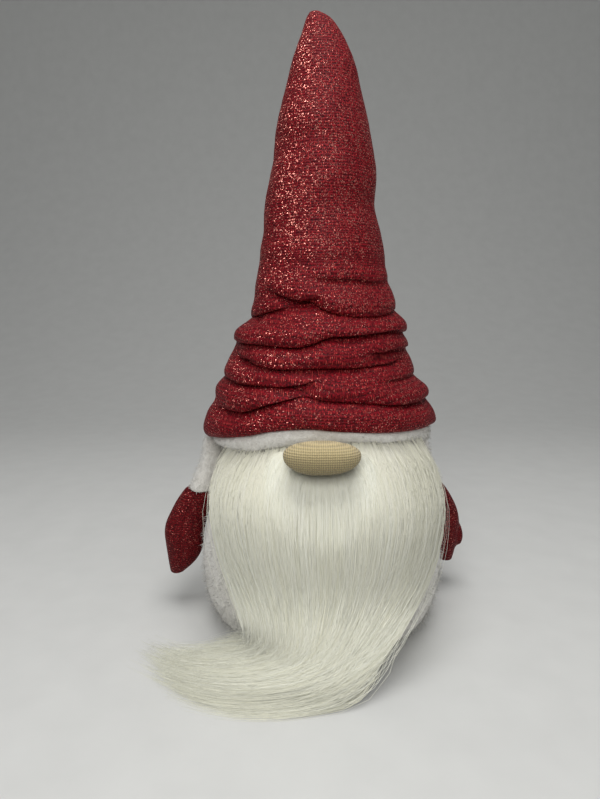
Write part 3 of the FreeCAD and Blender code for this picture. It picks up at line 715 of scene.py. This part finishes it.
def makeArm(side):
    style = armStyle
    sleeve = wovenCopy(side + "_sleeve", side + "SleeveFleece", style["skin"], style["sleeveRounds"])
    place = readPoints(sleeve)
    place += pointNormals(sleeve) * lumps(place, style["sleeveLumps"])[:, None]
    writePoints(sleeve, place)
    dress(sleeve, fleeceMaterial)
    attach(sleeve, side + "_arm")
    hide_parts(side + "_sleeve")
    mitten = wovenCopy(side + "_mitten", side + "MittenKnit", style["skin"], style["mittenRounds"])
    place = readPoints(mitten)
    cloth = np.stack([place[:, 0] + place[:, 1], np.zeros(len(place)), place[:, 2]], axis=1)
    storeAttribute(mitten, "cloth", cloth * mm)
    place += pointNormals(mitten) * lumps(place, style["mittenLumps"])[:, None]
    # the seam follows the middle of the mitten's front, found level by level
    count = style["levels"]
    levels = np.linspace(place[:, 2].min(), place[:, 2].max(), count + 1)
    level = np.clip(np.searchsorted(levels, place[:, 2]) - 1, 0, count - 1)
    spans = [place[level == k, 0] for k in range(count)]
    middle = [(span.min() + span.max()) / 2 for span in spans]
    offSeam = place[:, 0] - np.interp(place[:, 2], (levels[1:] + levels[:-1]) / 2, middle)
    writePoints(mitten, place)
    seam = hill(offSeam, style["seamDepth"], 0, style["seamWide"]) * smoothStep(levels[0], levels[4],
                                                                                place[:, 2])
    place -= pointNormals(mitten) * seam[:, None]
    writePoints(mitten, place)
    dress(mitten, shadedMittenMaterial)
    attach(mitten, side + "_arm")
    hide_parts(side + "_mitten")
    print(side, "arm done")
    return sleeve


napStyle = {
    "thick": (0.09, 0.15), "scatter": 0.75, "droop": -0.35, "root": 0.3, "lowest": 0.25,
    "bodyNap": {"count": 9500, "length": (1.6, 2.9), "seed": 3},
    "browNap": {"count": 1800, "length": (1.0, 1.8), "seed": 4},
    "sleeveNap": {"count": 1500, "length": (1.1, 2.0), "seed": 5},
}


def shortPile(name, kind, base, body, wanted):
    style, amount = napStyle, napStyle[kind]
    count = amount["count"]
    rng = np.random.default_rng(amount["seed"])
    mesh = base.data
    mesh.calc_loop_triangles()
    corners = np.zeros(len(mesh.loop_triangles) * 3, int)
    mesh.loop_triangles.foreach_get("vertices", corners)
    points = readPoints(base)[corners.reshape(-1, 3)]
    facing = np.cross(points[:, 1] - points[:, 0], points[:, 2] - points[:, 0])
    area = np.linalg.norm(facing, axis=1)
    facing = unit(facing)
    area = area * wanted(points.mean(axis=1))
    chosen = rng.choice(len(area), count, p=area / area.sum())
    a, b = rng.uniform(0, 1, (2, count))
    flip = a + b > 1
    a[flip], b[flip] = 1 - a[flip], 1 - b[flip]
    tri = points[chosen]
    start = tri[:, 0] + a[:, None] * (tri[:, 1] - tri[:, 0]) + b[:, None] * (tri[:, 2] - tri[:, 0])
    normal = facing[chosen]
    lean = rng.normal(0, style["scatter"], (count, 3)) + np.array([0, 0, style["droop"]])
    reach = rng.uniform(*amount["length"], count)[:, None]
    middle = start + (normal + 0.35 * lean) * reach * 0.5
    tip = middle + (0.45 * normal + 0.6 * lean) * reach * 0.5
    paths = np.stack([start - style["root"] * normal, middle, tip], axis=1)
    paths[..., 2] = np.maximum(paths[..., 2], style["lowest"])
    lays = np.repeat(normal[:, None], 3, axis=1)
    piece = fibreMesh(name, paths, rng.uniform(*style["thick"], count), rng.uniform(0, 1, count), lays)
    dress(piece, napMaterial)
    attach(piece, body)
    print(name, count, "fibres")


beardStyle = {
    "rightEdge": [(0, -28), (25, -34), (43, -43), (60, -54), (82, -61), (125, -59)],
    "leftEdge": [(0, 8), (20, 24), (43, 44), (56, 55), (82, 64), (125, 60)],
    "sweepBack": [(-42, -66, 12), (-58, -64, 8), (-73, -59, 5), (-89, -49, 4), (-107, -34, 3)],
    "sweepMiddle": [(-12, -89, 9), (-34, -91, 8), (-57, -86, 6), (-80, -73, 4), (-108, -50, 2.5)],
    "sweepFront": [(10, -88, 4), (-12, -95, 3), (-34, -97.5, 2), (-58, -93, 1.5), (-90, -75, 1)],
    "turnHeight": (27, 22, 10),
    "bulge": [(0, 0), (45, 0), (70, 1.5), (88, 3.5), (102, 3.0), (113, 0.5), (125, 0)],
    "tilt": [(0, 0), (20, -0.1), (45, -0.25), (62, -0.15), (80, 0.25), (95, 0.75), (113, 1.0), (125, 1.0)],
    "pileDepth": [(0, 8), (75, 8), (100, 5), (113, 3.5), (125, 3)],
    "seed": 41,
    "locks": 1250, "fibres": 12, "steps": 13, "columns": 7,
    "fine": 80,  # places along a lock's path while it is shaped
    "bendRounds": 60,  # how long the bend into the sweep is softened
    "thick": (0.09, 0.14), "length": (150, 245), "spread": 6.5,
    "partAt": -2.5, "fanOut": 7,
    "lowest": 0.35,
}


def pileFront(hull, x, z):
    # how far forward the pile's surface is at a place seen from the front
    level = min(max(z, 1.5), 106)
    hit = hull.ray_cast(Vector((x, -200, level)) * mm, Vector((0, 1, 0)))[0]
    if hit is None:
        hit = hull.find_nearest(Vector((x, -70, level)) * mm)[0]
    return hit.y / mm + 0.3 * max(z - level, 0)


def lengthAlong(path):
    return np.concatenate([[0], np.cumsum(np.linalg.norm(np.diff(path, axis=0), axis=1))])


def spacedOut(path, run, reach, count):
    # the path again, as a number of evenly spaced points over its first part
    spots = np.linspace(0, reach, count)
    return np.stack([np.interp(spots, run, path[:, axis]) for axis in range(3)], axis=1)


def lockPaths(rng, hull):
    style = beardStyle
    locks, fine = style["locks"], style["fine"]
    order = np.arange(locks)
    across = 0.008 + 0.984 * ((order * 0.61803399) % 1)  # golden steps spread the roots evenly
    facing = np.degrees(np.arcsin(np.clip((across * 2 - 1) * 0.93, -1, 1)))
    rootTop = smoothTable(browStyle["foot"], facing, 4) + 3.5
    rootHeight = rootTop - 88 * (order / locks) ** 1.6 - rng.uniform(0, 4, locks)
    sweeps = np.array([style["sweepBack"], style["sweepMiddle"], style["sweepFront"]], float)
    blend = np.clip(across + rng.normal(0, 0.12, locks), 0, 0.999) * 2
    paths = np.zeros((locks, fine, 3))
    for index in range(locks):
        top = rootHeight[index]
        turnHeight = np.interp(across[index], (0, 0.5, 1), style["turnHeight"]) + rng.uniform(-4, 4)
        turnHeight = min(turnHeight, top - 6)
        downs = np.linspace(top, turnHeight, max(int((top - turnHeight) / 3), 3))
        right = smoothTable(style["rightEdge"], downs, 6)
        left = smoothTable(style["leftEdge"], downs, 6)
        x = right + (left - right) * across[index]
        fromPart = np.clip((x[0] - style["partAt"]) / 40, -1, 1)
        x -= style["fanOut"] * fromPart * np.exp(-(top - downs) / 12) * smoothStep(70, 100, top)
        hanging = [(px, pileFront(hull, px, pz), pz) for px, pz in zip(x, downs)]
        first = int(blend[index])
        part = blend[index] - first
        path = np.concatenate([hanging, sweeps[first] * (1 - part) + sweeps[first + 1] * part])
        run = lengthAlong(path)
        paths[index] = spacedOut(path, run, run[-1], fine)
    # the bend into the sweep is a long soft curve
    for _ in range(style["bendRounds"]):
        loose = 1 - smoothStep(32, 60, paths[:, 1:-1, 2:])
        paths[:, 1:-1] += loose * ((paths[:, :-2] + paths[:, 2:]) / 2 - paths[:, 1:-1]) * 0.5
    length = rng.uniform(*style["length"], locks) * (1 - 0.25 * (1 - smoothStep(40, 85, rootHeight)))
    for index in range(locks):
        run = lengthAlong(paths[index])
        length[index] = min(length[index], run[-1] * (1 - 0.3 * rng.uniform(0, 1) ** 0.6))
        paths[index] = spacedOut(paths[index], run, length[index], fine)
    # low roots stay deep in the pile and high roots lie over them
    travelled = np.linspace(0, 1, fine)[None] * length[:, None]
    rank = np.clip(0.1 + 0.9 * (rootHeight - 26) / 90 + rng.uniform(-0.3, 0.12, locks), 0, 1)[:, None]
    radial = paths[..., :2] / np.linalg.norm(paths[..., :2], axis=2, keepdims=True)
    depth = smoothTable(style["pileDepth"], paths[..., 2], 5)
    bulge = smoothTable(style["bulge"], paths[..., 2], 5)
    inwards = depth * ((1 - rank) + rank * np.exp(-travelled / 7)) - bulge * rank
    inwards *= smoothStep(6, 26, paths[..., 2])
    paths[..., :2] -= radial * inwards[..., None]
    paths[..., 2] *= 1 + (1.5 * rank - 0.75) * (1 - smoothStep(6, 26, paths[..., 2]))
    return across, paths


def hangPile(piece, material):
    dress(piece, material)
    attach(piece, "figure")


underStyle = {"skin": 1.6, "rounds": 4, "inset": 4.0, "upright": 0.3, "lowest": 0.6, "top": 101, "edge": 5}


def makeUnderPile():
    style = underStyle
    under = wovenCopy("beard_pile", "beardUnderPile", style["skin"], style["rounds"])
    place = readPoints(under)
    inward = pointNormals(under) * style["inset"]
    inward[:, 2] *= style["upright"]
    place -= inward * (1 + smoothStep(80, 104, place[:, 2:]))
    place[:, 2] = np.clip(place[:, 2], style["lowest"], style["top"])
    low = smoothTable(beardStyle["rightEdge"], place[:, 2], 6) + style["edge"]
    high = smoothTable(beardStyle["leftEdge"], place[:, 2], 6) - style["edge"]
    place[:, 0] = np.clip(place[:, 0], low, high)
    reach = np.hypot(place[:, 0], place[:, 1])
    limit = np.where(place[:, 1] > -46, 56, 70 + 0.45 * np.clip(place[:, 2], 0, 40))
    place[:, :2] *= np.minimum(1, limit / reach)[:, None]
    writePoints(under, place)
    hangPile(under, underMaterial)


def lockFibres(rng, across, centres):
    # every lock splits into fibres, some locks closing towards the tip and some opening
    style = beardStyle
    locks, fibres, steps = style["locks"], style["fibres"], style["steps"]
    total = locks * fibres
    axis = np.repeat(centres[:, np.linspace(0, style["fine"] - 1, steps).astype(int)], fibres, axis=0)
    lying = 1 - smoothStep(6, 34, axis[..., 2:])
    radial = axis[..., :2] / np.linalg.norm(axis[..., :2], axis=2, keepdims=True)
    outward = np.concatenate([radial * (1 - lying), lying], axis=2)
    lays = outward.copy()
    lays[..., 2] += smoothTable(style["tilt"], axis[..., 2], 6)
    lays /= np.linalg.norm(lays, axis=2, keepdims=True)
    ahead = np.gradient(axis, axis=1)
    sideways = unit(np.cross(ahead, outward))
    outward = unit(np.cross(sideways, ahead))
    angle = rng.uniform(0, 2 * math.pi, total)
    spread = style["spread"] * np.sqrt(rng.uniform(0, 1, total))
    step = np.linspace(0, 1, steps)
    draw = 1 + np.repeat(rng.uniform(-0.55, 0.35, locks), fibres)[:, None] * step[None] ** 1.5
    paths = axis + sideways * ((spread * np.cos(angle))[:, None] * draw)[..., None]
    paths += outward * ((0.22 * spread * np.sin(angle))[:, None] * draw)[..., None]
    phase = rng.uniform(0, 2 * math.pi, (total, 2))
    waves = rng.uniform(0.5, 1.6, (total, 2))
    sway = rng.uniform(0.1, 1.1, (total, 2))
    for k, (direction, share) in enumerate(((sideways, 1.0), (outward, 0.4))):
        wave = np.sin(phase[:, k, None] + waves[:, k, None] * step[None] * 2 * math.pi)
        swing = sway[:, k, None] * step[None] * wave
        paths += direction * (swing * share)[..., None]
    # each fibre ends at its own length
    along = np.clip(step[None] * (1 - 0.3 * rng.uniform(0, 1, total) ** 0.7)[:, None], 0, 1) * (steps - 1)
    lowIndex = np.minimum(along.astype(int), steps - 2)
    part = (along - lowIndex)[..., None]
    rows = np.arange(total)[:, None]
    paths = paths[rows, lowIndex] * (1 - part) + paths[rows, lowIndex + 1] * part
    paths[..., 2] = np.maximum(paths[..., 2], style["lowest"])
    thick = rng.uniform(*style["thick"], total)
    tint = np.clip(np.repeat(rng.uniform(0, 0.5, locks), fibres) + rng.uniform(-0.1, 0.5, total), 0, 1)
    column = np.repeat(np.minimum((across * style["columns"]).astype(int), style["columns"] - 1), fibres)
    for index in range(style["columns"]):
        mine = column == index
        piece = fibreMesh("beardLocks%d" % (index + 1), paths[mine], thick[mine], tint[mine], lays[mine])
        hangPile(piece, pileMaterial)
        if index == 0:
            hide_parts("beard_pile", "beard_backing")
        print(piece.name, sum(mine), "fibres", len(piece.data.polygons), "faces")
    return paths, lays


ruffStyle = {"count": 2200, "steps": 8, "turn": (178, 362), "reach": (16, 42), "ease": (6, 13),
             "thick": (0.08, 0.12), "back": -68}


def makeNoseRuff(rng, hull):
    # the nose pushes the pile aside: these hairs leave its edge square and then bend down
    style = ruffStyle
    count, steps = style["count"], style["steps"]
    low, high = boxMm("nose_cover")
    middle, half = (low + high) / 2, (high - low) / 2
    turn = np.radians(rng.uniform(*style["turn"], count))
    reach = rng.uniform(*style["reach"], count)[:, None]
    ease = rng.uniform(*style["ease"], count)[:, None]
    share = np.linspace(0, 1, steps)[None]
    gone = reach * share
    aside = ease * (1 - np.exp(-gone / ease))
    x = middle[0] + np.cos(turn)[:, None] * (half[0] * rng.uniform(0.75, 1.0, (count, 1)) + aside)
    z = middle[2] - 1.5 + np.sin(turn)[:, None] * (half[2] * 0.8 + aside) - (gone - aside)
    front = np.array([[pileFront(hull, x[i, k], z[i, k]) for k in range(steps)] for i in range(count)])
    y = front - rng.uniform(0.5, 4.0, count)[:, None] * np.sin(math.pi * (0.1 + 0.75 * share)) - 1.0
    y[:, 0] = np.maximum(y[:, 0], style["back"])
    curls = np.stack([x, y, z], axis=2)
    lays = np.stack([x * 0.01, y * 0.013, 0.7 + 0 * z], axis=2)
    lays /= np.linalg.norm(lays, axis=2, keepdims=True)
    hangPile(fibreMesh("beardNoseRuff", curls, rng.uniform(*style["thick"], count),
                       rng.uniform(0, 0.6, count), lays), pileMaterial)


strayStyle = {"count": 130, "edge": 0.12, "bow": (1.5, 7.5), "thick": (0.07, 0.11), "lowest": 0.5}


def makeStrays(rng, across, paths, lays):
    # single hairs that have come loose from the sides and the sweep
    style = strayStyle
    edge = np.flatnonzero(np.repeat((across < style["edge"]) | (across > 1 - style["edge"]),
                                    beardStyle["fibres"]))
    picked = np.concatenate([rng.choice(edge, style["count"] * 2 // 3),
                             rng.choice(len(paths), style["count"] // 3)])
    count = len(picked)
    loose = paths[picked].copy()
    outwards = np.where(loose[:, :1, 0] > 0, 1.0, -1.0)
    step = np.linspace(0, 1, beardStyle["steps"])
    bow = rng.uniform(*style["bow"], count)[:, None]
    bow = bow * np.sin(math.pi * step[None] * rng.uniform(0.5, 0.95, count)[:, None])
    loose[..., 0] += outwards * bow
    loose[..., 1] -= 0.35 * bow
    loose[..., 2] = np.maximum(loose[..., 2], style["lowest"])
    hangPile(fibreMesh("beardStrays", loose, rng.uniform(*style["thick"], count), rng.uniform(0, 0.5, count),
                       lays[picked]), pileMaterial)


def makeBeard():
    source = nodes["beard_pile"].data
    hull = BVHTree.FromPolygons([v.co.copy() for v in source.vertices],
                                [p.vertices[:] for p in source.polygons])
    makeUnderPile()
    rng = np.random.default_rng(beardStyle["seed"])
    across, centres = lockPaths(rng, hull)
    paths, lays = lockFibres(rng, across, centres)
    makeNoseRuff(rng, hull)
    makeStrays(rng, across, paths, lays)
    print("beard done")


studio = {
    "camera": (-0.013, -0.350, 0.189), "pitch": 80.8, "lens": 27.08,
    "panels": [("topPanel", (0.0, -0.22, 0.95), 0.5, 5.2), ("keyPanel", (-0.10, -0.70, 0.56), 0.4, 2.7),
               ("fillPanel", (0.7, -0.5, 0.35), 0.5, 0.2)],
    "aim": (0, 0, 0.14),
    "world": 0.30, "air": "#e4e6e8",
    "paper": ("#cfcfcc", "#d3d3d0"), "bend": 0.9, "bendFrom": 0.55,
}


def makeStudio():
    paperMaterial, add = newMaterial("mattPaper")
    place = add("TexCoord").outputs["Object"]
    grain = add("TexNoise", {"Vector": place, "Scale": 40.0, "Detail": 4.0}).outputs["Fac"]
    colour = add("ValToRGB", {"Fac": grain}, stops=[(0.3, studio["paper"][0]), (0.7, studio["paper"][1])])
    add("OutputMaterial", {"Surface": add("BsdfPrincipled", {"Base Color": colour, "Roughness": 0.9})})
    deselectAll()
    bpy.ops.mesh.primitive_grid_add(x_subdivisions=4, y_subdivisions=120, size=6)
    floor = bpy.context.object
    floor.name = "studioFloor"
    sheet = readPoints(floor) * mm
    bend, start = studio["bend"], studio["bendFrom"]
    past = np.clip(sheet[:, 1] - start, 0, None)
    angle = np.clip(past / bend, 0, math.pi / 2)
    straight = np.clip(past - bend * math.pi / 2, 0, None)
    sheet[:, 1] = np.minimum(sheet[:, 1], start) + bend * np.sin(angle)
    sheet[:, 2] = bend * (1 - np.cos(angle)) + straight
    writePoints(floor, sheet / mm)
    activate(floor)
    bpy.ops.object.shade_smooth()
    dress(floor, paperMaterial)
    world = bpy.data.worlds.new("softRoom")
    bpy.context.scene.world = world
    world.use_nodes = True
    air = world.node_tree.nodes["Background"]
    air.inputs["Color"].default_value = toLinear(studio["air"])
    air.inputs["Strength"].default_value = studio["world"]
    for name, spot, size, power in studio["panels"]:
        light = bpy.data.lights.new(name, "AREA")
        light.size, light.energy = size, power
        lamp = bpy.data.objects.new(name, light)
        bpy.context.collection.objects.link(lamp)
        lamp.location = spot
        lamp.rotation_euler = (Vector(studio["aim"]) - Vector(spot)).to_track_quat("-Z", "Y").to_euler()
    camera = bpy.data.objects.new("frontCamera", bpy.data.cameras.new("frontCamera"))
    bpy.context.collection.objects.link(camera)
    camera.location = studio["camera"]
    camera.rotation_euler = (math.radians(studio["pitch"]), 0, 0)
    camera.data.lens, camera.data.sensor_width = studio["lens"], 36
    bpy.context.scene.camera = camera
    bpy.context.scene.view_settings.view_transform = "Standard"
    print("studio done")


knitMaterial = glitterKnit("glitterRibKnitRed", knitLook)
shadedMittenMaterial = glitterKnit("glitterRibKnitRedShaded", shadedMittenLook)
fleeceMaterial = boaFleece("polyesterBoaFleece")
pileMaterial = pileFibre("modacrylicLongPile", pileLook["beard"])
napMaterial = pileFibre("boaFleeceNap", pileLook["nap"])
underMaterial = underPile("modacrylicUnderPile")
innerStuff = {
    "board": plainStuff("greyBoard", "#a8a196", "#8b8478", 1.2, 0.85),
    "cotton": plainStuff("calicoCotton", "#e8e1cf", "#d6cdb8", 0.8, 0.9),
    "fibre_filling": plainStuff("hollowFibreFilling", "#f2f1ed", "#dcdad4", 1.6, 0.95),
    "thread": plainStuff("polyesterThread", "#efece4", "#d8d3c6", 0.3, 0.6),
    "pellet": plainStuff("polyethylenePellet", "#f0efe9", "#d5d3c9", 2.6, 0.45),
    "white_fleece": fleeceMaterial,
    "beige_knit": plainStuff("cottonJerseyPlain", "#dcc69a", "#c4ad80", 0.9, 0.85),
    "red_glitter_knit": plainStuff("knitBackRed", "#8e1420", "#6a0d16", 0.9, 0.8),
    "long_pile": underMaterial,
}
for node in nodes.values():
    for slot in node.material_slots:
        slot.material = innerStuff[slot.material.name.split(".")[0]]
print("materials done")

makeStudio()
makeHat()
bodyPiece = makeBody()
makeNose()
browPiece = makeBrowRoll()
sleeves = {side: makeArm(side) for side in ("right", "left")}
# no nap where the beard hides the body
shortPile("bodyNap", "bodyNap", bodyPiece, "figure", lambda p: (p[:, 2] > 0.8) & (p[:, 2] < 122)
          & ((p[:, 1] > -42) | (p[:, 2] < 26) | (np.abs(p[:, 0]) > 50)))
shortPile("browNap", "browNap", browPiece, "figure", lambda p: p[:, 1] < 30)
for side, sleeve in sleeves.items():
    shortPile(side + "SleeveNap", "sleeveNap", sleeve, side + "_arm", lambda p: p[:, 2] > 0)
makeBeard()
